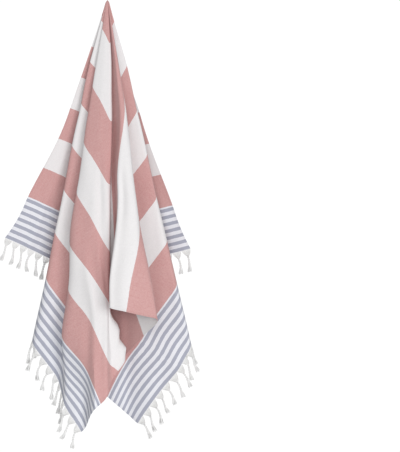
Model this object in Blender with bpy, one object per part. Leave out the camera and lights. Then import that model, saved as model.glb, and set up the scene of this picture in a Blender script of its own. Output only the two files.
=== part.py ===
"""Hammam towel with a fringe on both short ends, hung from the middle of one long edge.

The cloth is laid out around the hanging point. A straight line from that point to a far edge
stays nearly straight, as on any sheet that hangs from one point. So the drape is a table of
folds: where each fold lies on the flat cloth, and where its line then points in space.
"""

import math
from collections import namedtuple

import bmesh
import bpy
import numpy as np

# The flat cloth
CLOTH_WIDTH = 1.000
CLOTH_LENGTH = 1.500
CLOTH_THICKNESS = 0.0012
HALF_LENGTH = CLOTH_LENGTH / 2
CORNER_ANGLE = math.degrees(math.atan2(CLOTH_WIDTH, HALF_LENGTH))

# The mesh of the cloth
RAY_COUNT = 122
ROW_COUNT = 23
FIRST_RADIUS = 0.078
ANGLE_STEP = 0.25
TURN_ANGLE = 1.5
BEND_WEIGHT = 0.5

# The gathered peak at the hanging point
PEAK_HEIGHT = 0.088
PEAK_SIDES = 20
PEAK_RINGS = (
    # share of the height, half width, half depth
    (0.00, 0.00371, 0.00371),
    (0.12, 0.00689, 0.00615),
    (0.45, 0.01325, 0.01219),
    (1.00, 0.02491, 0.02173),
)

# The fringe: a strip of bare warp along the hem, then webs that narrow to cords with a knot
TASSEL_COUNT = 33
TASSEL_ROOT_WIDTH = 0.020
STRIP_GAP = 0.0012
STRIP_WIDTH = 0.005
WEB_LENGTH = 0.015

# Shares of the cloth's own direction and of the plumb line in a tassel's direction
WEB_OUTWARD = 0.72
WEB_DOWN = 0.28
CORD_OUTWARD = 0.42
CORD_SWAY = 0.16
CORD_BEND = 0.016
TASSEL_RINGS = (
    # distance from the tip of the web, half width
    (0.0000, 0.0021),
    (0.0100, 0.0021),
    (0.0190, 0.0021),
    (0.0230, 0.0034),
    (0.0275, 0.0024),
    (0.0440, 0.0040),
)

# Distances from the hanging point at which the table gives five values, from the top down,
# and the degrees over which a fold is rounded there
STATIONS = (0.17, 0.35, 0.64, 0.95, 1.18)
SOFTNESS = (1.5, 0.95, 0.75, 0.75, 0.75)

# angle: degrees on the flat cloth, from the left half of the upper edge to its right half
# lean: degrees to the right of the plumb line, seen from the front
# depth: degrees in front of the plumb line, at the fold's middle
# turn: how much the depth grows while the cloth goes round the fold
# slack: length of cloth that is taken up in the gathers near the hanging point
Fold = namedtuple("Fold", "name angle lean depth turn slack")
FOLDS = (
    Fold("left selvedge",
         [0] * 5, (-19.0, -19.1, -22.2, -26.5, -28.0),
         [-5] * 5, 0, 0),
    Fold("left flap",
         [12] * 5, (-10.5, -11.0, -13.2, -15.0, -15.0),
         [-6.5] * 5, 0, 0),
    Fold("left back fold",
         [26] * 5, [-1.2] * 5,
         [-8.5] * 5, 3.4, 0),
    Fold("second layer edge",
         (39.2, 39.4, 40.4, 41.6, 41.6), (-16.2, -14.2, -12.9, -12.6, -12.3),
         [-0.8] * 5, 2.2, 0),
    Fold("pleat",
         (50, 49.8, 49.0, 48.7, 48.0), (-4.4, -4.2, -4.8, -6.3, -7.2),
         (2, 2, 2, 2, 2.4), 2.2, 0),
    Fold("front layer edge",
         (55.6, 55.4, 53.4, 51.0, 49.5), (-10.3, -9.8, -9.3, -7.9, -6.3),
         (5, 5, 5, 4.6, 3.2), 1.6, 0),
    Fold("front layer",
         (62, 61.4, 59.0, 55.6, 53.5), (-3.4, -3.6, -3.9, -3.4, -2.9),
         (8.8, 8.8, 8.6, 7.9, 5.2), 0, 0),
    Fold("soft fold near the hem",
         (65.5, 64.2, 61.5, 58.4, 56.4), (-0.1, -0.85, -1.65, -1.4, -2.2),
         (9.3, 9.3, 9.0, 8.6, 7.9), 0, 0),
    Fold("front ridge",
         (69, 67, 64, 60.8, 60.2), (3.2, 1.9, 0.6, 0.3, 0.35),
         (9.9, 9.8, 9.4, 9.0, 8.2), 0, 0),
    Fold("step behind the ridge",
         (70.2, 68.2, 65.2, 62.1, 61.5), (3.5, 2.1, 0.8, 0.3, 0.35),
         (9.1, 9.0, 8.6, 8.0, 7.2), 0, 0.036),
    Fold("edge below the flap",
         (72.2, 70.4, 67.6, 65.0, 64.4), (4.3, 2.6, 1.0, 0.6, 3.6),
         (7.8, 7.7, 7.4, 7.2, 6.4), -1.6, 0.07),
    Fold("pleat behind the ridge",
         [77] * 5, (-1.0, -1.8, -4.0, -4.4, -4.4),
         (5.6, 5.6, 5.2, 4.8, 4.6), -2.9, 0.1),
    Fold("valley",
         (82.0, 83.2, 85.4, 86.2, 86.2), (4.0, 2.7, 1.2, 1.4, 1.4),
         (4.2, 5.4, 6.7, 6.3, 6.2), 0, 0.114),
    Fold("valley wall",
         (85.0, 86.0, 87.8, 88.2, 88.2), (5.6, 4.2, 2.5, 2.6, 2.6),
         (7.2, 7.4, 7.9, 8.1, 8.1), 0, 0.112),
    Fold("flap left edge",
         (92, 93, 94.4, 95.3, 95.3), (7.3, 6.5, 3.2, 0.5, 0.5),
         (13.2, 13.4, 13.6, 13.8, 13.8), 1.4, 0.094),
    Fold("flap face",
         (94.5, 96, 97.5, 98.6, 98.6), (8.4, 8.1, 5.7, 4.5, 4.4),
         (14.6, 14.8, 14.9, 15.0, 15.0), 0, 0.078),
    Fold("flap right edge",
         (96.8, 98, 100.4, 102.9, 102.9), (10.0, 9.8, 8.4, 9.1, 9.1),
         (13.2, 13.4, 13.6, 13.8, 13.8), -1.4, 0.067),
    Fold("flap back",
         (106, 106.5, 107.5, 108.6, 108.6), (9.0, 8.2, 7.0, 6.1, 6.1),
         (6.6, 7.2, 8.2, 8.8, 8.8), 0, 0.072),
    Fold("flap inner back",
         [113.8] * 5, (4.2, 3.4, 2.8, 2.2, 1.6),
         (1.6, 2.0, 2.8, 4.2, 4.2), 0, 0.048),
    Fold("inner fold",
         (117.8, 118.8, 119.7, 119.7, 119.7), (-1.0, -1.4, -2.2, -1.4, -0.9),
         [-1.6] * 5, -2.4, 0.027),
    Fold("right front",
         (123.8, 126.4, 129.1, 130.2, 127.0), (8.4, 8.3, 7.6, 8.4, 4.1),
         (-3, -3, -2.8, -2.8, -2.8), 0, 0.022),
    Fold("right front edge",
         (134.6, 134.6, 135.8, 136.4, 136.8), (16.8, 15.0, 14.0, 13.8, 13.8),
         [-2.6] * 5, -2.2, 0.012),
    Fold("back fold",
         [156.5] * 5, [0.4] * 5,
         [-14.0] * 5, -4.2, 0),
    Fold("right flap",
         [175] * 5, (12.2, 13.0, 13.2, 15.4, 16.4),
         (-9.8, -9.4, -8.4, -7.8, -7.8), 0, -0.01),
    Fold("right selvedge",
         [180] * 5, (14.2, 15.9, 17.6, 20.6, 21.6),
         (-9.4, -8.6, -7.0, -6.4, -6.4), 0, -0.012),
)

# angle: middle of the soft crease on the flat cloth, in degrees
# width: degrees from its middle to where it has faded
# height: degrees in front of the cloth around it, or behind it when negative
# start: distance from the hanging point at which it begins to rise
Crease = namedtuple("Crease", "name angle width height start")
CREASES = (
    Crease("left flap", 7.0, 2.6, 0.8, 0.30),
    Crease("second layer hem", 46.0, 1.4, 0.6, 0.85),
    Crease("front middle", 57.3, 1.3, 0.7, 0.60),
    Crease("below the flap", 112.0, 1.6, -0.7, 0.70),
    Crease("right corner", 125.2, 1.6, -0.7, 0.85),
    Crease("right flap", 169.0, 3.0, 0.9, 0.35),
    Crease("right back", 146.0, 3.0, 0.8, 0.45),
    Crease("left back", 33.0, 2.6, -0.8, 0.45),
)
CREASE_RUN = 0.30
SLACK_REACH = 0.25

# Short bulges near the hem: angle and width in degrees, place across the cloth and reach in
# metres, and how far the cloth is pushed there to the right and to the front in degrees
Bulge = namedtuple("Bulge", "name angle width across reach lean depth")
BULGES = (
    Bulge("edge below the flap", 65.0, 1.6, 0.923, 0.016, 0.9, 0.2),
    Bulge("corner below the flap", 65.0, 1.6, 0.974, 0.011, 0.85, 0.3),
    Bulge("right band, upper bend", 131.5, 4.5, 0.735, 0.030, -0.22, -0.2),
    Bulge("right band, lower bend", 131.0, 4.0, 0.812, 0.026, 0.42, 0.45),
)


def remove_everything():
    for item in list(bpy.data.objects):
        bpy.data.objects.remove(item, do_unlink=True)


def softened(values, softness):
    """The values with their corners rounded, their first and last one kept."""
    reach = int(round(4 * softness / ANGLE_STEP))
    steps = np.arange(-reach, reach + 1) * ANGLE_STEP
    weights = np.exp(-0.5 * (steps / softness) ** 2)
    weights /= weights.sum()
    before = 2 * values[0] - values[reach:0:-1]
    after = 2 * values[-1] - values[-2 : -reach - 2 : -1]
    return np.convolve(np.concatenate([before, values, after]), weights, mode="valid")


def station_curves(station):
    """Lean, depth and slack along the cloth's angle at one station of the fold table."""
    angles, leans, depths, slacks = [], [], [], []
    for fold in FOLDS:
        half_turn = TURN_ANGLE / 2 if fold.turn else 1e-6
        for side in (-1, 1):
            angles.append(fold.angle[station] + side * half_turn)
            leans.append(fold.lean[station])
            depths.append(fold.depth[station] + side * fold.turn / 2)
            slacks.append(fold.slack)
    grid = np.arange(0, 180 + ANGLE_STEP / 2, ANGLE_STEP)
    curves = [np.interp(grid, angles, column) for column in (leans, depths, slacks)]
    return grid, [softened(curve, SOFTNESS[station]) for curve in curves]


ANGLE_GRID, _ = station_curves(0)
STATION_CURVES = np.array([station_curves(station)[1] for station in range(len(STATIONS))])


def drape(radius, angle):
    """Places in space of cloth points given by distance and angle around the hanging point."""
    radius = np.asarray(radius, float)
    angle = np.asarray(angle, float)
    column = np.clip(angle, 0, 180) / ANGLE_STEP
    left = np.minimum(column.astype(int), len(ANGLE_GRID) - 2)
    share = column - left
    place = np.interp(radius, STATIONS, range(len(STATIONS)))
    upper = np.minimum(place.astype(int), len(STATIONS) - 2)
    step = place - upper
    step = step * step * (3 - 2 * step)
    values = []
    for curve in range(3):
        above = STATION_CURVES[upper, curve, left] * (1 - share)
        above = above + STATION_CURVES[upper, curve, left + 1] * share
        below = STATION_CURVES[upper + 1, curve, left] * (1 - share)
        below = below + STATION_CURVES[upper + 1, curve, left + 1] * share
        values.append(above * (1 - step) + below * step)
    lean, depth, slack = values
    for crease in CREASES:
        rise = np.clip((radius - crease.start) / CREASE_RUN, 0, 1)
        profile = np.exp(-(((angle - crease.angle) / crease.width) ** 2) * 2)
        depth = depth + crease.height * rise * rise * profile
    across = radius * np.sin(np.radians(angle))
    for bulge in BULGES:
        away = ((angle - bulge.angle) / bulge.width) ** 2
        profile = np.exp(-0.5 * (away + ((across - bulge.across) / bulge.reach) ** 2))
        lean = lean + bulge.lean * profile
        depth = depth + bulge.depth * profile
    side = np.tan(np.radians(lean))
    front = np.tan(np.radians(depth))
    length = radius - slack * (1 - np.exp(-radius / SLACK_REACH))
    length = length / np.sqrt(1 + side**2 + front**2)
    return np.stack([side * length, -front * length, -length], axis=-1)


def drape_flat(across, along):
    """Places of cloth points given by distance from the upper edge and from the middle."""
    radius = np.hypot(across, along)
    angle = np.degrees(np.arctan2(across, -np.asarray(along, float)))
    return drape(radius, angle)


def edge_radius(angle):
    """Distance from the hanging point to the cloth's edge."""
    turn = np.radians(angle)
    to_end = HALF_LENGTH / np.maximum(np.abs(np.cos(turn)), 1e-9)
    to_far_edge = CLOTH_WIDTH / np.maximum(np.sin(turn), 1e-9)
    return np.minimum(to_end, to_far_edge)


def ray_angles():
    """Angles of the mesh lines, closer together where the cloth bends, with both corners."""
    lean = STATION_CURVES[2:, 0].mean(axis=0)
    depth = STATION_CURVES[2:, 1].mean(axis=0)
    bend = np.hypot(np.gradient(np.gradient(lean)), np.gradient(np.gradient(depth)))
    density = 1 + BEND_WEIGHT * bend / bend.mean()
    total = np.concatenate([[0], np.cumsum((density[1:] + density[:-1]) / 2)])
    angles = np.interp(np.linspace(0, total[-1], RAY_COUNT), total, ANGLE_GRID)
    for corner in (CORNER_ANGLE, 180 - CORNER_ANGLE):
        angles[np.argmin(np.abs(angles - corner))] = corner
    return angles


def make_object(name, points, faces, material):
    mesh = bpy.data.meshes.new(name)
    mesh.from_pydata([tuple(point) for point in points], [], faces)
    mesh.validate()
    mesh.materials.append(material)
    item = bpy.data.objects.new(name, mesh)
    bpy.context.scene.collection.objects.link(item)
    shape = bmesh.new()
    shape.from_mesh(mesh)
    bmesh.ops.recalc_face_normals(shape, faces=shape.faces)
    shape.to_mesh(mesh)
    shape.free()
    mesh.shade_smooth()
    mesh.set_sharp_from_angle(angle=math.radians(40))
    return item


def thick_sheet(middle):
    """Points and faces of a closed sheet around a grid of middle points."""
    rows, columns = middle.shape[:2]
    down = np.gradient(middle, axis=0)
    over = np.gradient(middle, axis=1)
    normal = np.cross(down, over)
    normal /= np.linalg.norm(normal, axis=-1, keepdims=True)
    layers = [middle + side * CLOTH_THICKNESS / 2 * normal for side in (-1, 1)]
    points = np.concatenate([layer.reshape(-1, 3) for layer in layers])

    def at(layer, row, column):
        return (layer * rows + row) * columns + column

    faces = []
    for row in range(rows - 1):
        for column in range(columns - 1):
            for layer in (0, 1):
                corners = [
                    at(layer, row, column),
                    at(layer, row, column + 1),
                    at(layer, row + 1, column + 1),
                    at(layer, row + 1, column),
                ]
                faces.append(corners if layer else corners[::-1])
    rim = [(0, column) for column in range(columns)]
    rim += [(row, columns - 1) for row in range(1, rows)]
    rim += [(rows - 1, column) for column in range(columns - 2, -1, -1)]
    rim += [(row, 0) for row in range(rows - 2, 0, -1)]
    for here, there in zip(rim, rim[1:] + rim[:1]):
        faces.append([at(0, *here), at(0, *there), at(1, *there), at(1, *here)])
    return points, faces


def make_cloth(material):
    angles = ray_angles()
    shares = np.linspace(0, 1, ROW_COUNT)[:, None]
    radii = FIRST_RADIUS + shares * (edge_radius(angles)[None, :] - FIRST_RADIUS)
    middle = drape(radii, np.broadcast_to(angles, radii.shape))
    return make_object("towel_cloth", *thick_sheet(middle), material)


def make_peak(material):
    """The tip, where all the folds are pressed together."""
    points = []
    for share, half_width, half_depth in PEAK_RINGS:
        for side in range(PEAK_SIDES):
            turn = 2 * math.pi * side / PEAK_SIDES
            lobe = 1 + 0.08 * math.cos(5 * turn)
            points.append((
                half_width * lobe * math.cos(turn),
                half_depth * lobe * math.sin(turn),
                -share * PEAK_HEIGHT,
            ))
    faces = []
    for ring in range(len(PEAK_RINGS) - 1):
        for side in range(PEAK_SIDES):
            after = (side + 1) % PEAK_SIDES
            low = ring * PEAK_SIDES
            faces.append([low + side, low + after, low + PEAK_SIDES + after, low + PEAK_SIDES + side])
    faces.append(list(range(PEAK_SIDES)))
    faces.append(list(range(len(points) - PEAK_SIDES, len(points)))[::-1])
    return make_object("peak_cutter", points, faces, material)


def join_to(item, other):
    """The other object joined into the item by a Boolean union."""
    other.hide_render = True
    other.display_type = "WIRE"
    join = item.modifiers.new("peak", "BOOLEAN")
    join.operation = "UNION"
    join.solver = "EXACT"
    join.object = other


def tassel_rings(root, outward, sway):
    """Rings of four corners for one tassel, from its root on the strip to its loose end."""
    centre = root.mean(axis=0)
    web_run = WEB_OUTWARD * outward + np.array([0.0, 0.0, -WEB_DOWN])
    web_run /= np.linalg.norm(web_run)
    place = centre + WEB_LENGTH * web_run
    hanging = np.array([sway[0], sway[1], -1.0]) + CORD_OUTWARD * outward
    hanging /= np.linalg.norm(hanging)
    wide = root[1] - root[0]
    wide -= wide.dot(hanging) * hanging
    wide /= np.linalg.norm(wide)
    thick = np.cross(hanging, wide)
    if thick.dot(root[3] - root[0]) < 0:
        thick = -thick
    rings = []
    run = web_run
    last = 0.0
    for distance, half_width in TASSEL_RINGS:
        turn = min(1.0, distance / CORD_BEND)
        run = (1 - turn) * web_run + turn * hanging
        place = place + (distance - last) * run / np.linalg.norm(run)
        last = distance
        rings.append([
            place - half_width * wide - half_width * thick,
            place + half_width * wide - half_width * thick,
            place + half_width * wide + half_width * thick,
            place - half_width * wide + half_width * thick,
        ])
    return rings


def make_fringe(name, side, material, seed):
    """A narrow strip along one short end, with the tassels that grow from it."""
    chance = np.random.default_rng(seed)
    spacing = CLOTH_WIDTH / TASSEL_COUNT
    across = []
    for number in range(TASSEL_COUNT):
        middle = (number + 0.5) * spacing
        across += [middle - TASSEL_ROOT_WIDTH / 2, middle + TASSEL_ROOT_WIDTH / 2]
    across = np.array(across)
    inner = HALF_LENGTH + STRIP_GAP
    outer = inner + STRIP_WIDTH
    along = side * np.array([inner, outer])[:, None]
    middle = drape_flat(np.broadcast_to(across, (2, len(across))), np.broadcast_to(along, (2, len(across))))
    points, faces = thick_sheet(middle)
    columns = len(across)
    points = list(points)
    outer_rim = {}
    for index, face in enumerate(faces):
        corners = sorted(face)
        first = corners[0] - columns
        if 0 <= first < columns - 1 and corners == [
            columns + first,
            columns + first + 1,
            3 * columns + first,
            3 * columns + first + 1,
        ]:
            outer_rim[first] = index
    replaced = set()
    for number in range(TASSEL_COUNT):
        first = 2 * number
        replaced.add(outer_rim[first])
        ring = [
            columns + first,
            columns + first + 1,
            3 * columns + first + 1,
            3 * columns + first,
        ]
        root = np.array([points[corner] for corner in ring])
        outward = middle[1, first] + middle[1, first + 1] - middle[0, first] - middle[0, first + 1]
        outward /= np.linalg.norm(outward)
        sway = chance.uniform(-CORD_SWAY, CORD_SWAY, 2)
        for corners in tassel_rings(root, outward, sway):
            start = len(points)
            points += corners
            new_ring = list(range(start, start + 4))
            for here in range(4):
                there = (here + 1) % 4
                faces.append([ring[here], ring[there], new_ring[there], new_ring[here]])
            ring = new_ring
        faces.append(ring)
    faces = [face for index, face in enumerate(faces) if index not in replaced]
    return make_object(name, points, faces, material)


def make_material(name, colour, roughness):
    material = bpy.data.materials.new(name)
    material.use_nodes = True
    shader = material.node_tree.nodes["Principled BSDF"]
    shader.inputs["Base Color"].default_value = (*colour, 1.0)
    shader.inputs["Roughness"].default_value = roughness
    shader.inputs["Metallic"].default_value = 0.0
    material.diffuse_color = (*colour, 1.0)
    return material


remove_everything()
cotton = make_material("woven_cotton", (0.68, 0.45, 0.43), 0.9)
warp_yarn = make_material("fringe_yarn", (0.78, 0.77, 0.74), 0.9)
cloth = make_cloth(cotton)
join_to(cloth, make_peak(cotton))
make_fringe("fringe_left", -1, warp_yarn, seed=3)
make_fringe("fringe_right", 1, warp_yarn, seed=8)
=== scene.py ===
"""Looks of a striped hammam towel with a knotted fringe, hung from the middle of one long edge."""

import math
from collections import namedtuple

import bpy
import numpy as np
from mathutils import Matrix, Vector


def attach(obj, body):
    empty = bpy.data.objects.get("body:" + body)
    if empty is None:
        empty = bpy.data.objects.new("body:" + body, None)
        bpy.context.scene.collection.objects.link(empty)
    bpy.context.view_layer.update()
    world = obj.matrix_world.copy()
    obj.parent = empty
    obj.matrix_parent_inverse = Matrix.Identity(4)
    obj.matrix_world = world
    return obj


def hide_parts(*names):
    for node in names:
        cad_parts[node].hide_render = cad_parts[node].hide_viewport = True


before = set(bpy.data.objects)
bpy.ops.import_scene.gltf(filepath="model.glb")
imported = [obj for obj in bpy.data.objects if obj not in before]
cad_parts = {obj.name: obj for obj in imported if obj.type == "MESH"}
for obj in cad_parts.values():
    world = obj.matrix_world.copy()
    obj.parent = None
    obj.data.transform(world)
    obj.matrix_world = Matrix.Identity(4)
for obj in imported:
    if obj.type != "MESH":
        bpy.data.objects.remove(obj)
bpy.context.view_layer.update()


# --- The cloth -----------------------------------------------------------------------------
# One flat-woven cotton towel, 1.00 m wide and 1.50 m long, its two long edges being selvedges.
# It is carried at the middle of one long edge, so all its folds run straight down from there:
# each row of the table says where a fold lies on the flat cloth and where it then points.

CLOTH_WIDTH = 1.000
HALF_LENGTH = 0.750
CLOTH_THICKNESS = 0.0009
CORNER_ANGLE = math.degrees(math.atan2(CLOTH_WIDTH, HALF_LENGTH))

# Distances from the hanging point, and the degrees over which a fold is rounded there
STATIONS = (0.17, 0.35, 0.64, 0.95, 1.18)
SOFTNESS = (1.1, 0.8, 0.66, 0.66, 0.66)
TURN_ANGLE = 1.5
ANGLE_STEP = 0.25
SLACK_REACH = 0.25

# angle: degrees on the flat cloth; lean: degrees to the right; depth: degrees to the front;
# turn: how much the depth grows round the fold; slack: cloth taken up in the gathers
Fold = namedtuple("Fold", "name angle lean depth turn slack")
FOLDS = (
    Fold("left selvedge",
         [0] * 5, (-19.0, -19.1, -22.2, -26.5, -28.0),
         [-5] * 5, 0, 0),
    Fold("left flap",
         [12] * 5, (-10.5, -11.0, -13.2, -15.0, -15.0),
         [-6.5] * 5, 0, 0),
    Fold("left back fold",
         [26] * 5, [-1.2] * 5,
         [-8.5] * 5, 3.4, 0),
    Fold("second layer edge",
         (39.2, 39.4, 40.4, 41.6, 41.6), (-16.2, -14.2, -12.9, -12.6, -12.3),
         [-0.8] * 5, 2.2, 0),
    Fold("pleat",
         (50, 49.8, 49.0, 48.7, 48.0), (-4.4, -4.2, -4.8, -6.3, -7.2),
         (2, 2, 2, 2, 2.4), 2.2, 0),
    Fold("front layer edge",
         (55.6, 55.4, 53.4, 51.0, 49.5), (-10.3, -9.8, -9.3, -7.9, -6.3),
         (5, 5, 5, 4.6, 3.2), 1.6, 0),
    Fold("front layer",
         (62, 61.4, 59.0, 55.6, 53.5), (-3.4, -3.6, -3.9, -3.4, -2.9),
         (8.8, 8.8, 8.6, 7.9, 5.2), 0, 0),
    Fold("soft fold near the hem",
         (65.5, 64.2, 61.5, 58.4, 56.4), (-0.1, -0.85, -1.65, -1.4, -2.2),
         (9.3, 9.3, 9.0, 8.6, 7.9), 0, 0),
    Fold("front ridge",
         (69, 67, 64, 60.8, 60.2), (3.2, 1.9, 0.6, 0.3, 0.35),
         (9.9, 9.8, 9.4, 9.0, 8.2), 0, 0),
    Fold("step behind the ridge",
         (70.2, 68.2, 65.2, 62.1, 61.5), (3.5, 2.1, 0.8, 0.3, 0.35),
         (9.1, 9.0, 8.6, 8.0, 7.2), 0, 0.036),
    Fold("edge below the flap",
         (72.2, 70.4, 67.6, 65.0, 64.4), (4.3, 2.6, 1.0, 0.6, 3.6),
         (7.8, 7.7, 7.4, 7.2, 6.4), -1.6, 0.07),
    Fold("pleat behind the ridge",
         [77] * 5, (-1.0, -1.8, -4.0, -4.4, -4.4),
         (5.6, 5.6, 5.2, 4.8, 4.6), -2.9, 0.1),
    Fold("valley",
         (82.0, 83.2, 85.4, 86.2, 86.2), (4.0, 2.7, 1.2, 1.4, 1.4),
         (4.2, 5.4, 6.7, 6.3, 6.2), 0, 0.114),
    Fold("valley wall",
         (85.0, 86.0, 87.8, 88.2, 88.2), (5.6, 4.2, 2.5, 2.6, 2.6),
         (7.2, 7.4, 7.9, 8.1, 8.1), 0, 0.112),
    Fold("flap left edge",
         (92, 93, 94.4, 95.3, 95.3), (7.3, 6.5, 3.2, 0.5, 0.5),
         (13.2, 13.4, 13.6, 13.8, 13.8), 1.4, 0.094),
    Fold("flap face",
         (94.5, 96, 97.5, 98.6, 98.6), (8.4, 8.1, 5.7, 4.5, 4.4),
         (14.6, 14.8, 14.9, 15.0, 15.0), 0, 0.078),
    Fold("flap right edge",
         (96.8, 98, 100.4, 102.9, 102.9), (10.0, 9.8, 8.4, 9.1, 9.1),
         (13.2, 13.4, 13.6, 13.8, 13.8), -1.4, 0.067),
    Fold("flap back",
         (106, 106.5, 107.5, 108.6, 108.6), (9.0, 8.2, 7.0, 6.1, 6.1),
         (6.6, 7.2, 8.2, 8.8, 8.8), 0, 0.072),
    Fold("flap inner back",
         [113.8] * 5, (4.2, 3.4, 2.8, 2.2, 1.6),
         (1.6, 2.0, 2.8, 4.2, 4.2), 0, 0.048),
    Fold("inner fold",
         (117.8, 118.8, 119.7, 119.7, 119.7), (-1.0, -1.4, -2.2, -1.4, -0.9),
         [-1.6] * 5, -2.4, 0.027),
    Fold("right front",
         (123.8, 126.4, 129.1, 130.2, 127.0), (8.4, 8.3, 7.6, 8.4, 4.1),
         (-3, -3, -2.8, -2.8, -2.8), 0, 0.022),
    Fold("right front edge",
         (134.6, 134.6, 135.8, 136.4, 136.8), (16.8, 15.0, 14.0, 13.8, 13.8),
         [-2.6] * 5, -2.2, 0.012),
    Fold("back fold",
         [156.5] * 5, [0.4] * 5,
         [-14.0] * 5, -4.2, 0),
    Fold("right flap",
         [175] * 5, (12.2, 13.0, 13.2, 15.4, 16.4),
         (-9.8, -9.4, -8.4, -7.8, -7.8), 0, -0.01),
    Fold("right selvedge",
         [180] * 5, (14.2, 15.9, 17.6, 20.6, 21.6),
         (-9.4, -8.6, -7.0, -6.4, -6.4), 0, -0.012),
)

# The soft creases. angle and width: degrees on the flat cloth; height: degrees to the front;
# start and run: distance from the hanging point at which a crease rises, and over how much
Crease = namedtuple("Crease", "name angle width height start run")
CREASES = (
    Crease("left flap", 7.0, 2.6, 0.8, 0.30, 0.30),
    Crease("second layer hem", 46.0, 1.4, 0.6, 0.85, 0.30),
    Crease("front middle", 57.3, 1.3, 0.7, 0.60, 0.30),
    Crease("below the flap", 112.0, 1.6, -0.7, 0.70, 0.30),
    Crease("right corner", 125.2, 1.6, -0.7, 0.85, 0.30),
    Crease("right flap", 169.0, 3.0, 0.9, 0.35, 0.30),
    Crease("right back", 146.0, 3.0, 0.8, 0.45, 0.30),
    Crease("left back", 33.0, 2.6, -0.8, 0.45, 0.30),
    Crease("flap, beside its left edge", 96.7, 1.2, -0.5, 0.40, 0.25),
    Crease("front, left of the ridge", 61.6, 1.1, -0.3, 0.30, 0.25),
)

# Short bulges near the hem: angle and width in degrees, place across the cloth and reach in
# metres, and how far the cloth is pushed there to the right and to the front in degrees
Bulge = namedtuple("Bulge", "name angle width across reach lean depth")
BULGES = (
    Bulge("edge below the flap", 65.0, 1.6, 0.923, 0.016, 0.9, 0.2),
    Bulge("corner below the flap", 65.0, 1.6, 0.974, 0.011, 0.85, 0.3),
    Bulge("right band, upper bend", 131.5, 4.5, 0.735, 0.030, -0.22, -0.2),
    Bulge("right band, lower bend", 131.0, 4.0, 0.812, 0.026, 0.42, 0.45),
)

# Slight unevenness: waves per degree and per metre, the turn at which they start, in radians,
# and their height in degrees
Wave = namedtuple("Wave", "per_degree per_metre start height")
WAVES = (
    Wave(0.115, 1.1, 0.7, 0.13),
    Wave(0.205, -2.3, 3.1, 0.09),
    Wave(0.330, 3.9, 1.9, 0.05),
    Wave(0.071, 5.1, 4.4, 0.05),
)
WAVE_START = 0.25
WAVE_RUN = 0.5

# How much wider the gathers stand just below the hanging point, over what length that fades,
# and the length over which the very tip is rounded
TIP_SPREAD = 0.011
TIP_REACH = 0.050
TIP_ROUND = 0.0045


def softened(values, softness):
    """The values with their corners rounded, their first and last one kept."""
    reach = int(round(4 * softness / ANGLE_STEP))
    steps = np.arange(-reach, reach + 1) * ANGLE_STEP
    weights = np.exp(-0.5 * (steps / softness) ** 2)
    weights /= weights.sum()
    before = 2 * values[0] - values[reach:0:-1]
    after = 2 * values[-1] - values[-2 : -reach - 2 : -1]
    return np.convolve(np.concatenate([before, values, after]), weights, mode="valid")


angle_grid = np.arange(0, 180 + ANGLE_STEP / 2, ANGLE_STEP)
station_curves = []
for station, softness in enumerate(SOFTNESS):
    columns = [[], [], [], []]
    for fold in FOLDS:
        half_turn = TURN_ANGLE / 2 if fold.turn else 1e-6
        for side in (-1, 1):
            columns[0].append(fold.angle[station] + side * half_turn)
            columns[1].append(fold.lean[station])
            columns[2].append(fold.depth[station] + side * fold.turn / 2)
            columns[3].append(fold.slack)
    station_curves.append(
        [softened(np.interp(angle_grid, columns[0], column), softness) for column in columns[1:]]
    )
station_curves = np.array(station_curves)


def drape(across, along):
    """Where points of the flat cloth hang, given below its upper edge and beside its middle."""
    radius = np.hypot(across, along)
    angle = np.degrees(np.arctan2(across, -along))
    column = np.clip(angle, 0, 180) / ANGLE_STEP
    left = np.minimum(column.astype(int), len(angle_grid) - 2)
    share = column - left
    place = np.interp(radius, STATIONS, range(len(STATIONS)))
    upper = np.minimum(place.astype(int), len(STATIONS) - 2)
    step = place - upper
    step = step * step * (3 - 2 * step)
    values = []
    for curve in range(3):
        above = station_curves[upper, curve, left] * (1 - share)
        above = above + station_curves[upper, curve, left + 1] * share
        below = station_curves[upper + 1, curve, left] * (1 - share)
        below = below + station_curves[upper + 1, curve, left + 1] * share
        values.append(above * (1 - step) + below * step)
    lean, depth, slack = values
    for crease in CREASES:
        profile = np.clip((radius - crease.start) / crease.run, 0, 1) ** 2
        away = (angle - crease.angle) / crease.width
        depth = depth + crease.height * profile * np.exp(-2 * away**2)
    for bulge in BULGES:
        away = ((angle - bulge.angle) / bulge.width) ** 2
        profile = np.exp(-0.5 * (away + ((across - bulge.across) / bulge.reach) ** 2))
        lean = lean + bulge.lean * profile
        depth = depth + bulge.depth * profile
    loose = np.clip((radius - WAVE_START) / WAVE_RUN, 0, 1)
    for wave in WAVES:
        turn = 2 * math.pi * (wave.per_degree * angle + wave.per_metre * radius) + wave.start
        depth = depth + loose * wave.height * np.sin(turn)
    side = np.tan(np.radians(lean))
    front = np.tan(np.radians(depth))
    length = radius - slack * (1 - np.exp(-radius / SLACK_REACH))
    length = length / np.sqrt(1 + side**2 + front**2)
    spread = TIP_SPREAD * (1 - np.exp(-((radius / TIP_ROUND) ** 2))) * np.exp(-radius / TIP_REACH)
    return np.stack([side * (length + spread), -front * (length + spread), -length], axis=-1)


# The mesh: lines outwards from the hanging point, closer together where the cloth bends, and
# rows across them, closer together near the point
RAY_COUNT = 381
ROW_COUNT = 114
ROW_SPACING = 1.4
TIP_RADIUS = 0.0008
SMOOTH_ANGLE = math.radians(50)

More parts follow.
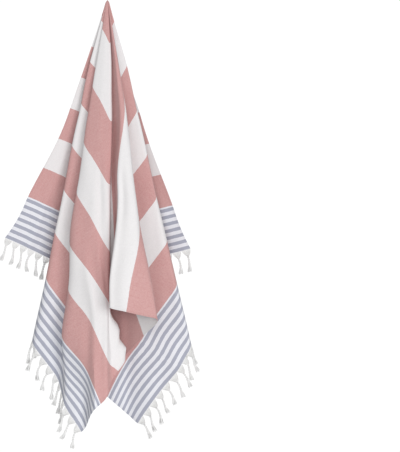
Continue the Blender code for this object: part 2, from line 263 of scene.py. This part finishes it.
bend = np.abs(np.gradient(np.gradient(station_curves[2:, 0].mean(axis=0))))
bend += np.abs(np.gradient(np.gradient(station_curves[2:, 1].mean(axis=0))))
density = 1 + bend / bend.mean()
ray_places = np.concatenate([[0], np.cumsum((density[1:] + density[:-1]) / 2)])
rays = np.interp(np.linspace(0, ray_places[-1], RAY_COUNT), ray_places, angle_grid)
for corner in (CORNER_ANGLE, 180 - CORNER_ANGLE):
    rays[np.argmin(np.abs(rays - corner))] = corner
to_end = HALF_LENGTH / np.maximum(np.abs(np.cos(np.radians(rays))), 1e-9)
to_far_edge = CLOTH_WIDTH / np.maximum(np.sin(np.radians(rays)), 1e-9)
ray_ends = np.minimum(to_end, to_far_edge)

bpy.ops.object.select_all(action="DESELECT")
bpy.ops.mesh.primitive_grid_add(
    x_subdivisions=RAY_COUNT - 1,
    y_subdivisions=ROW_COUNT - 1,
    size=CLOTH_WIDTH,
    location=(0, 0, -CLOTH_WIDTH / 2),
    rotation=(math.radians(90), 0, 0),
)
cloth = bpy.context.object
cloth.name = "towel_cloth_woven"
bpy.ops.object.transform_apply(location=True, rotation=True, scale=True)
places = np.array([vertex.co for vertex in cloth.data.vertices])
ray_of = np.rint((places[:, 0] / CLOTH_WIDTH + 0.5) * (RAY_COUNT - 1)).astype(int)
row_of = np.rint(-places[:, 2] / CLOTH_WIDTH * (ROW_COUNT - 1)).astype(int)
shares = (row_of / (ROW_COUNT - 1)) ** ROW_SPACING
radii = TIP_RADIUS + shares * (ray_ends[ray_of] - TIP_RADIUS)
across = radii * np.sin(np.radians(rays[ray_of]))
along = -radii * np.cos(np.radians(rays[ray_of]))
hung = drape(across, along)
cloth.data.vertices.foreach_set("co", hung.ravel())
woven_places = cloth.data.uv_layers.active
woven_places.name = "woven_place"
corner_vertices = np.zeros(len(cloth.data.loops), int)
cloth.data.loops.foreach_get("vertex_index", corner_vertices)
flat_places = np.stack([across[corner_vertices], along[corner_vertices]], axis=-1)
woven_places.data.foreach_set("uv", flat_places.ravel())
cloth.data.update()
bpy.ops.object.mode_set(mode="EDIT")
bpy.ops.mesh.select_all(action="SELECT")
bpy.ops.mesh.normals_make_consistent(inside=False)
bpy.ops.object.mode_set(mode="OBJECT")
thickness = cloth.modifiers.new("thickness", "SOLIDIFY")
thickness.thickness = CLOTH_THICKNESS
thickness.offset = 0
bpy.ops.object.modifier_apply(modifier=thickness.name)
bpy.ops.object.shade_smooth_by_angle(angle=SMOOTH_ANGLE)


class Thread:
    """A socket of a material's nodes. Python's arithmetic on it adds Math nodes."""

    def __init__(self, tree, socket=None):
        self.tree = tree
        self.socket = socket

    def node(self, kind, settings=None, output=0, **sockets):
        """The output of a new node, with its settings made before its sockets."""
        made = self.tree.nodes.new(kind)
        for name, value in (settings or {}).items():
            setattr(made, name, value)
        for name, value in sockets.items():
            slot = made.inputs[int(name[1:]) if name[1:].isdigit() else name.replace("_", " ")]
            if isinstance(value, Thread):
                self.tree.links.new(value.socket, slot)
            else:
                slot.default_value = value
        return Thread(self.tree, made.outputs[output])

    def math(self, operation, first, second=0.0):
        return self.node("ShaderNodeMath", {"operation": operation}, i0=first, i1=second)

    def __add__(self, other):
        return self.math("ADD", self, other)

    def __radd__(self, other):
        return self.math("ADD", other, self)

    def __sub__(self, other):
        return self.math("SUBTRACT", self, other)

    def __rsub__(self, other):
        return self.math("SUBTRACT", other, self)

    def __mul__(self, other):
        return self.math("MULTIPLY", self, other)

    def __rmul__(self, other):
        return self.math("MULTIPLY", other, self)

    def __truediv__(self, other):
        return self.math("DIVIDE", self, other)

    def __lt__(self, other):
        return self.math("LESS_THAN", self, other)

    def __gt__(self, other):
        return self.math("GREATER_THAN", self, other)

    def __mod__(self, other):
        return self.math("FLOORED_MODULO", self, other)

    def __abs__(self):
        return self.math("ABSOLUTE", self)

    def wave(self, length):
        """A sine between -1 and 1 that repeats over the length."""
        return self.math("SINE", self * (2 * math.pi / length))

    def mixed(self, first, second):
        """The first colour where this is 0 and the second where it is 1."""
        return self.node(
            "ShaderNodeMix", {"data_type": "RGBA"}, output=2, i0=self, i6=first, i7=second
        )

    def shaded(self, colour):
        """The colour made lighter or darker by this value."""
        return self.node("ShaderNodeVectorMath", {"operation": "SCALE"}, i0=colour, Scale=self)


# The stripes, counted from the middle of the length towards both short ends
BROAD_STRIPE = 0.0945
BROAD_STRIPES_END = 6.5 * BROAD_STRIPE
NARROW_REPEAT = 0.02006
NARROW_CENTRE = 0.0098
NARROW_STRIPE = 0.0098
THREAD_PITCH = 0.00085
SELVEDGE_WIDTH = 0.006
SELVEDGE_RIB = 0.0017
STRIPE_WANDER = 0.0012
WEFT_GRAIN = (70, 1150, 1)
WARP_GRAIN = (1150, 60, 1)
STREAK_GRAIN = (330, 22, 1)
PATCH_GRAIN = 240.0
ROSE = (0.53, 0.262, 0.255, 1)
ROSE_LIGHT = (0.67, 0.425, 0.41, 1)
WARM_WHITE = (0.80, 0.785, 0.79, 1)
COOL_WHITE = (0.79, 0.80, 0.845, 1)
BLUE_GREY = (0.395, 0.41, 0.49, 1)

woven_cotton = bpy.data.materials.new("woven_cotton_stripes")
woven_cotton.use_nodes = True
tree = woven_cotton.node_tree
shader = tree.nodes["Principled BSDF"]
yarn = Thread(tree)
place = yarn.node("ShaderNodeUVMap", {"uv_map": "woven_place"})
place_across = yarn.node("ShaderNodeSeparateXYZ", i0=place)
place_along = Thread(tree, place_across.socket.node.outputs[1])
weft_slub = yarn.node(
    "ShaderNodeTexNoise",
    {"noise_dimensions": "2D"},
    Vector=yarn.node("ShaderNodeMapping", Vector=place, Scale=WEFT_GRAIN),
    Scale=1.0,
    Detail=2.0,
)
warp_slub = yarn.node(
    "ShaderNodeTexNoise",
    {"noise_dimensions": "2D"},
    Vector=yarn.node("ShaderNodeMapping", Vector=place, Scale=WARP_GRAIN),
    Scale=1.0,
    Detail=2.0,
)
soft_patches = yarn.node(
    "ShaderNodeTexNoise", {"noise_dimensions": "2D"}, Vector=place, Scale=PATCH_GRAIN, Detail=3.0
)
long_streaks = yarn.node(
    "ShaderNodeTexNoise",
    {"noise_dimensions": "2D"},
    Vector=yarn.node("ShaderNodeMapping", Vector=place, Scale=STREAK_GRAIN),
    Scale=1.0,
    Detail=2.0,
)
edge_wander = (weft_slub - 0.5) * STRIPE_WANDER
from_middle = abs(place_along) + edge_wander
stripe_turn = (from_middle / BROAD_STRIPE + 0.5) % 2.0
is_rose = (stripe_turn < 1.0) * (from_middle < BROAD_STRIPES_END)
narrow_turn = (from_middle - BROAD_STRIPES_END - NARROW_CENTRE + NARROW_REPEAT / 2) % NARROW_REPEAT
from_narrow = abs(narrow_turn - NARROW_REPEAT / 2)
is_blue = (from_narrow < NARROW_STRIPE / 2) * (from_middle > BROAD_STRIPES_END)
weft_over = place_across.wave(THREAD_PITCH) * place_along.wave(THREAD_PITCH)
show_of_weft = 0.5 + 0.22 * weft_over + 0.9 * (weft_slub - 0.5) + 0.9 * (soft_patches - 0.5)
show_of_weft = show_of_weft + 0.45 * (long_streaks - 0.5)
rose_yarns = show_of_weft.mixed(ROSE_LIGHT, ROSE)
is_band = from_middle > BROAD_STRIPES_END
white_yarns = is_band.mixed(WARM_WHITE, COOL_WHITE)
striped = is_rose.mixed(is_blue.mixed(white_yarns, BLUE_GREY), rose_yarns)
unevenness = 1.0 + 0.10 * (warp_slub - 0.5) + 0.10 * (weft_slub - 0.5)
unevenness = unevenness + 0.06 * (soft_patches - 0.5)
from_edge = yarn.math("MINIMUM", place_across, CLOTH_WIDTH - place_across)
is_selvedge = from_edge < SELVEDGE_WIDTH
finished = (unevenness - 0.03 * is_selvedge).shaded(striped)
tree.links.new(finished.socket, shader.inputs["Base Color"])
roughness = 0.86 + 0.12 * (soft_patches - 0.5)
tree.links.new(roughness.socket, shader.inputs["Roughness"])
ribs = is_selvedge * place_along.wave(SELVEDGE_RIB)
relief = 0.5 * weft_over + 0.7 * weft_slub + 0.5 * warp_slub + ribs
weave_bump = yarn.node("ShaderNodeBump", Strength=0.35, Distance=0.0003, Height=relief)
tree.links.new(weave_bump.socket, shader.inputs["Normal"])
shader.inputs["Sheen Weight"].default_value = 0.12
shader.inputs["Sheen Roughness"].default_value = 0.5
shader.inputs["Specular IOR Level"].default_value = 0.25
cloth.data.materials.clear()
cloth.data.materials.append(woven_cotton)

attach(cloth, "root")
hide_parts("towel_cloth")


# --- The fringe ----------------------------------------------------------------------------
# Past the last weft the warp is left unwoven. Every 30 mm of it is gathered and twisted into a
# two-ply cord, closed with a knot and left as a short tuft. One tassel is made and then copied.

# Lengths and radii are in metres and turns in radians, along the tassel's own line
TASSEL_COUNT = 33
TASSEL_SPACING = CLOTH_WIDTH / TASSEL_COUNT
WEB_ROOT = -0.0015
WEB_LENGTH = 0.020
WEB_YARNS = 24
WEB_YARN_RADIUS = 0.00045
WEB_BOW = 0.12
WEB_LIFT = 0.0005
WEB_CURL = 0.0006
WEB_GATHER = 3
WEB_OVERLAP = 0.001
WEB_CUTS = 5
PLY_RADIUS = 0.0018
PLY_SPREAD = 0.92
PLY_TOP = 0.002
CORD_STEPS = 16
CORD_STEP = 0.00135
CORD_TURN = math.radians(34)
KNOT_PLACE = WEB_LENGTH + CORD_STEPS * CORD_STEP
KNOT_RADIUS = 0.0028
KNOT_YARN = 0.0015
KNOT_TURNS = ((0.42, 0.0012), (-0.5, 0.0030))
KNOT_SKEW = 0.6
KNOT_SWING = 0.3
KNOT_SQUEEZE = (1.0, 0.86, 1.18)
TUFT_YARNS = 30
TUFT_LENGTH = 0.024
SHORTEST_TUFT = 0.72
TUFT_TOP = 0.002
TUFT_DROP = 0.003
TUFT_SWING = 0.2
TUFT_INNER = 0.0016
TUFT_OUTER = 0.0072
TUFT_YARN_RADIUS = 0.00095
TUFT_END_RADIUS = 0.00065
TUFT_BOW = 0.0008
TUFT_CUTS = 3

tassel_chance = np.random.default_rng(21)
tassel_parts = []

# The two plies, drawn out step by step while they turn round each other
bpy.ops.object.select_all(action="DESELECT")
for side in (-1, 1):
    bpy.ops.mesh.primitive_circle_add(
        vertices=8,
        radius=PLY_RADIUS,
        fill_type="NGON",
        location=(side * PLY_RADIUS * PLY_SPREAD, 0, -WEB_LENGTH + PLY_TOP),
    )
    tassel_parts.append(bpy.context.object)
    bpy.ops.object.transform_apply(location=True, rotation=True, scale=True)
    bpy.ops.object.mode_set(mode="EDIT")
    bpy.ops.mesh.select_all(action="SELECT")
    for step in range(CORD_STEPS + 2):
        bpy.ops.mesh.extrude_region_move(TRANSFORM_OT_translate={"value": (0, 0, -CORD_STEP)})
        bpy.ops.transform.rotate(
            value=CORD_TURN, orient_axis="Z", center_override=(0, 0, -WEB_LENGTH)
        )
    bpy.ops.mesh.select_all(action="SELECT")
    bpy.ops.mesh.normals_make_consistent(inside=False)
    bpy.ops.object.mode_set(mode="OBJECT")

# The overhand knot, as two crossed turns of the same cord, each with its tilt and its drop
for tilt, drop in KNOT_TURNS:
    bpy.ops.mesh.primitive_torus_add(
        major_segments=14,
        minor_segments=7,
        major_radius=KNOT_RADIUS,
        minor_radius=KNOT_YARN,
        location=(0, 0, -KNOT_PLACE - drop),
        rotation=(tilt, tilt * KNOT_SKEW, KNOT_SWING),
    )
    tassel_parts.append(bpy.context.object)
    bpy.ops.object.transform_apply(location=True, rotation=True, scale=True)
    bpy.ops.object.mode_set(mode="EDIT")
    bpy.ops.mesh.select_all(action="SELECT")
    bpy.ops.transform.resize(value=KNOT_SQUEEZE, center_override=(0, 0, -KNOT_PLACE - drop))
    bpy.ops.object.mode_set(mode="OBJECT")


def add_yarn(start, end, radius, tip_radius, cuts, bow):
    """A single yarn between two points of the tassel, bowed sideways in its middle."""
    start, end, bow = Vector(start), Vector(end), Vector(bow)
    run = end - start
    bpy.ops.mesh.primitive_cone_add(
        vertices=4,
        radius1=radius,
        radius2=tip_radius,
        depth=run.length,
        location=(start + end) / 2,
        rotation=run.to_track_quat("Z", "Y").to_euler(),
    )
    item = bpy.context.object
    bpy.ops.object.transform_apply(location=True, rotation=True, scale=True)
    bpy.ops.object.mode_set(mode="EDIT")
    for cut in range(1, cuts + 1):
        bpy.ops.mesh.select_all(action="SELECT")
        bpy.ops.mesh.bisect(plane_co=start + run * cut / (cuts + 1), plane_no=run.normalized())
    bpy.ops.object.mode_set(mode="OBJECT")
    for vertex in item.data.vertices:
        share = max(0.0, min(1.0, (vertex.co - start).dot(run) / run.length_squared))
        vertex.co += bow * math.sin(math.pi * share)
    tassel_parts.append(item)


# The unwoven warp, drawn together towards the cord
for number in range(WEB_YARNS):
    root = ((number + 0.5) / WEB_YARNS - 0.5) * TASSEL_SPACING
    lift = tassel_chance.uniform(-WEB_LIFT, WEB_LIFT)
    gathered = root / TASSEL_SPACING * PLY_RADIUS * WEB_GATHER
    add_yarn(
        (root, lift, -WEB_ROOT),
        (gathered, lift, -WEB_LENGTH - WEB_OVERLAP),
        WEB_YARN_RADIUS,
        WEB_YARN_RADIUS,
        WEB_CUTS,
        (root * WEB_BOW, tassel_chance.uniform(-WEB_CURL, WEB_CURL), 0),
    )

# The loose end below the knot
for number in range(TUFT_YARNS):
    turn = 2 * math.pi * number / TUFT_YARNS + tassel_chance.uniform(-TUFT_SWING, TUFT_SWING)
    inner = TUFT_INNER * math.sqrt(tassel_chance.uniform(0.1, 1.0))
    outer = TUFT_OUTER * math.sqrt(tassel_chance.uniform(0.05, 1.0))
    reach = TUFT_LENGTH * tassel_chance.uniform(SHORTEST_TUFT, 1.0)
    add_yarn(
        (inner * math.cos(turn), inner * math.sin(turn), -KNOT_PLACE - TUFT_TOP),
        (outer * math.cos(turn), outer * math.sin(turn), -KNOT_PLACE - TUFT_DROP - reach),
        TUFT_YARN_RADIUS,
        TUFT_END_RADIUS,
        TUFT_CUTS,
        (TUFT_BOW * math.cos(turn), TUFT_BOW * math.sin(turn), 0),
    )

bpy.ops.object.select_all(action="DESELECT")
for part in tassel_parts:
    part.select_set(True)
bpy.context.view_layer.objects.active = tassel_parts[0]
bpy.ops.object.join()
tassel = bpy.context.object
tassel.name = "tassel_pattern"
tassel.data.materials.clear()
tassel_points = np.array([vertex.co for vertex in tassel.data.vertices])

FIBRE_GRAIN = (1400, 1400, 300)
TANGLE_GRAIN = 160.0
YARN_LIGHT = (0.86, 0.86, 0.85, 1)
YARN_DARK = (0.79, 0.79, 0.79, 1)

fringe_yarn = bpy.data.materials.new("fringe_warp_yarn")
fringe_yarn.use_nodes = True
tree = fringe_yarn.node_tree
shader = tree.nodes["Principled BSDF"]
yarn = Thread(tree)
spot = yarn.node("ShaderNodeTexCoord", output=3)
fibres = yarn.node(
    "ShaderNodeTexNoise",
    Vector=yarn.node("ShaderNodeMapping", Vector=spot, Scale=FIBRE_GRAIN),
    Scale=1.0,
    Detail=3.0,
)
tangle = yarn.node("ShaderNodeTexNoise", Vector=spot, Scale=TANGLE_GRAIN, Detail=2.0)
tint = (0.5 + 0.9 * (tangle - 0.5)).mixed(YARN_LIGHT, YARN_DARK)
tone = 1.0 + 0.22 * (fibres - 0.5)
tree.links.new(tone.shaded(tint).socket, shader.inputs["Base Color"])
yarn_roughness = 0.85 + 0.15 * (fibres - 0.5)
tree.links.new(yarn_roughness.socket, shader.inputs["Roughness"])
fibre_bump = yarn.node("ShaderNodeBump", Strength=0.4, Distance=0.0003, Height=fibres)
tree.links.new(fibre_bump.socket, shader.inputs["Normal"])
shader.inputs["Sheen Weight"].default_value = 0.15
shader.inputs["Specular IOR Level"].default_value = 0.2

# How a tassel hangs: shares of the cloth's own direction and of the plumb line in its web's
# direction, its lean and sway below that, and where it turns from the one to the other
WEB_OUTWARD = 0.72
WEB_DOWN = 0.28
CORD_LEAN = 0.42
CORD_SWAY = 0.16
SWAY_SHARES = (1.4, 1.0)
CORD_CURL = 0.0035
SMALLEST_TASSEL = 0.93
LARGEST_TASSEL = 1.04
BEND_START = WEB_LENGTH * 0.5
BEND_RUN = 0.024
CURL_RUN = 0.045
SPIN_START = WEB_LENGTH * 0.9
SPIN_RUN = 0.004
TASSEL_END = 0.09
LINE_POINTS = 62
HEM_STEP = 0.004
SIDE_STEP = 0.002
SIDE_MARGIN = 0.0004
FRINGE_SEEDS = {-1: 3, 1: 8}

for side, seed in FRINGE_SEEDS.items():
    chance = np.random.default_rng(seed)
    tassels = []
    for number in range(TASSEL_COUNT):
        bpy.ops.object.select_all(action="DESELECT")
        tassel.select_set(True)
        bpy.context.view_layer.objects.active = tassel
        bpy.ops.object.duplicate(linked=False)
        copy = bpy.context.object
        middle = (number + 0.5) * TASSEL_SPACING
        sway = chance.uniform(-CORD_SWAY, CORD_SWAY, 2) * SWAY_SHARES
        curl = chance.uniform(-CORD_CURL, CORD_CURL, 2)
        spin = chance.uniform(0, 2 * math.pi)
        size = chance.uniform(SMALLEST_TASSEL, LARGEST_TASSEL)
        end = side * HALF_LENGTH
        edge = drape(np.array([middle]), np.array([end]))[0]
        inside = drape(np.array([middle]), np.array([end - side * HEM_STEP]))[0]
        beside = drape(np.array([middle + SIDE_STEP]), np.array([end]))[0]
        outward = (edge - inside) / np.linalg.norm(edge - inside)
        along_hem = (beside - edge) / np.linalg.norm(beside - edge)
        face = np.cross(along_hem, outward)
        face /= np.linalg.norm(face)
        web_run = WEB_OUTWARD * outward + np.array([0.0, 0.0, -WEB_DOWN])
        web_run /= np.linalg.norm(web_run)
        hanging = np.array([sway[0], sway[1], -1.0]) + CORD_LEAN * outward
        hanging /= np.linalg.norm(hanging)
        # The tassel's own line, from the hem outwards and then down
        depths = np.linspace(WEB_ROOT, TASSEL_END, LINE_POINTS)
        steps = []
        for depth in depths:
            turned = min(1.0, max(0.0, (depth - BEND_START) / BEND_RUN))
            run = (1 - turned) * web_run + turned * hanging
            steps.append(run / np.linalg.norm(run))
        steps = np.array(steps) * (depths[1] - depths[0])
        line = np.concatenate([[[0, 0, 0]], np.cumsum(steps[:-1], axis=0)])
        line = edge + WEB_ROOT * web_run + line
        below = np.clip(-tassel_points[:, 2] * size, WEB_ROOT, TASSEL_END)
        centre = np.stack([np.interp(below, depths, line[:, axis]) for axis in range(3)], axis=-1)
        hangs = np.clip(below / WEB_LENGTH, 0, 1)[:, None]
        free = np.clip((below - WEB_LENGTH) / CURL_RUN, 0, 1)
        cord_share = np.clip((below - SPIN_START) / SPIN_RUN, 0, 1)
        turn = spin * cord_share
        flat_x = tassel_points[:, 0] * np.cos(turn) - tassel_points[:, 1] * np.sin(turn)
        flat_y = tassel_points[:, 0] * np.sin(turn) + tassel_points[:, 1] * np.cos(turn)
        hem_places = drape(
            np.clip(middle + flat_x, SIDE_MARGIN, CLOTH_WIDTH - SIDE_MARGIN),
            np.full(len(flat_x), end),
        )
        at_hem = hem_places - edge
        wide = along_hem - along_hem.dot(hanging) * hanging
        wide /= np.linalg.norm(wide)
        thick = np.cross(wide, hanging)
        thick *= math.copysign(1, thick.dot(face))
        offset = (1 - hangs) * at_hem + hangs * flat_x[:, None] * wide
        offset += flat_y[:, None] * ((1 - hangs) * face + hangs * thick)
        bow = np.sin(math.pi * free)[:, None]
        placed = centre + offset + bow * (curl[0] * wide + curl[1] * thick)
        copy.data.vertices.foreach_set("co", placed.ravel())
        copy.data.update()
        tassels.append(copy)
    bpy.ops.object.select_all(action="DESELECT")
    for item in tassels:
        item.select_set(True)
    bpy.context.view_layer.objects.active = tassels[0]
    bpy.ops.object.join()
    fringe = bpy.context.object
    fringe.name = "fringe_left_knotted" if side < 0 else "fringe_right_knotted"
    bpy.ops.object.shade_smooth_by_angle(angle=math.radians(60))
    fringe.data.materials.clear()
    fringe.data.materials.append(fringe_yarn)
    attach(fringe, "root")
    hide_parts("fringe_left" if side < 0 else "fringe_right")
bpy.data.objects.remove(tassel)


# --- The studio ----------------------------------------------------------------------------
# A plain pale floor well below the towel, soft light from all round, a large lamp at the front
# right and a weaker one straight in front, and a camera far off, level with the towel's middle.

FLOOR_HEIGHT = -1.52
FLOOR_RADIUS = 2.6
FLOOR_COLOUR = (0.86, 0.86, 0.86, 1)
TOWEL_MIDDLE = Vector((0, 0, -0.65))
ROOM_LIGHT = 0.49
BACKDROP_LIGHT = 1.05
CAMERA_PLACE = (0.267, -20.0, -0.652)
VIEW_HEIGHT = 1.3045
SENSOR_WIDTH = 36

bpy.ops.object.select_all(action="DESELECT")
bpy.ops.mesh.primitive_circle_add(
    vertices=96, radius=FLOOR_RADIUS, fill_type="NGON", location=(0, 0, FLOOR_HEIGHT)
)
floor = bpy.context.object
floor.name = "studio_floor"
pale = bpy.data.materials.new("pale_floor")
pale.use_nodes = True
shader = pale.node_tree.nodes["Principled BSDF"]
shader.inputs["Base Color"].default_value = FLOOR_COLOUR
shader.inputs["Roughness"].default_value = 0.9
floor.data.materials.append(pale)

for name, spot, size, power in (
    ("front_lamp", (0.0, -7.2, -0.9), 2.0, 138),
    ("front_right_lamp", (2.4, -6.6, -0.7), 2.2, 184),
):
    bpy.ops.object.light_add(type="AREA", location=spot)
    lamp = bpy.context.object
    lamp.name = name
    lamp.data.size = size
    lamp.data.energy = power
    aim = TOWEL_MIDDLE - Vector(spot)
    lamp.rotation_euler = aim.to_track_quat("-Z", "Y").to_euler()

world = bpy.data.worlds.new("soft_white_room")
world.use_nodes = True
bpy.context.scene.world = world
room = world.node_tree
glow = room.nodes["Background"]
glow.inputs["Color"].default_value = (1, 1, 1, 1)
glow.inputs["Strength"].default_value = ROOM_LIGHT
backdrop = room.nodes.new("ShaderNodeBackground")
backdrop.inputs["Color"].default_value = (1, 1, 1, 1)
backdrop.inputs["Strength"].default_value = BACKDROP_LIGHT
seen = room.nodes.new("ShaderNodeLightPath")
choose = room.nodes.new("ShaderNodeMixShader")
room.links.new(seen.outputs["Is Camera Ray"], choose.inputs[0])
room.links.new(glow.outputs[0], choose.inputs[1])
room.links.new(backdrop.outputs[0], choose.inputs[2])
room.links.new(choose.outputs[0], room.nodes["World Output"].inputs["Surface"])

bpy.ops.object.camera_add(location=CAMERA_PLACE, rotation=(math.radians(90), 0, 0))
camera = bpy.context.object
camera.data.sensor_width = SENSOR_WIDTH
camera.data.lens = SENSOR_WIDTH * -CAMERA_PLACE[1] / VIEW_HEIGHT
camera.data.clip_end = 100
bpy.context.scene.camera = camera
bpy.context.scene.view_settings.view_transform = "Standard"
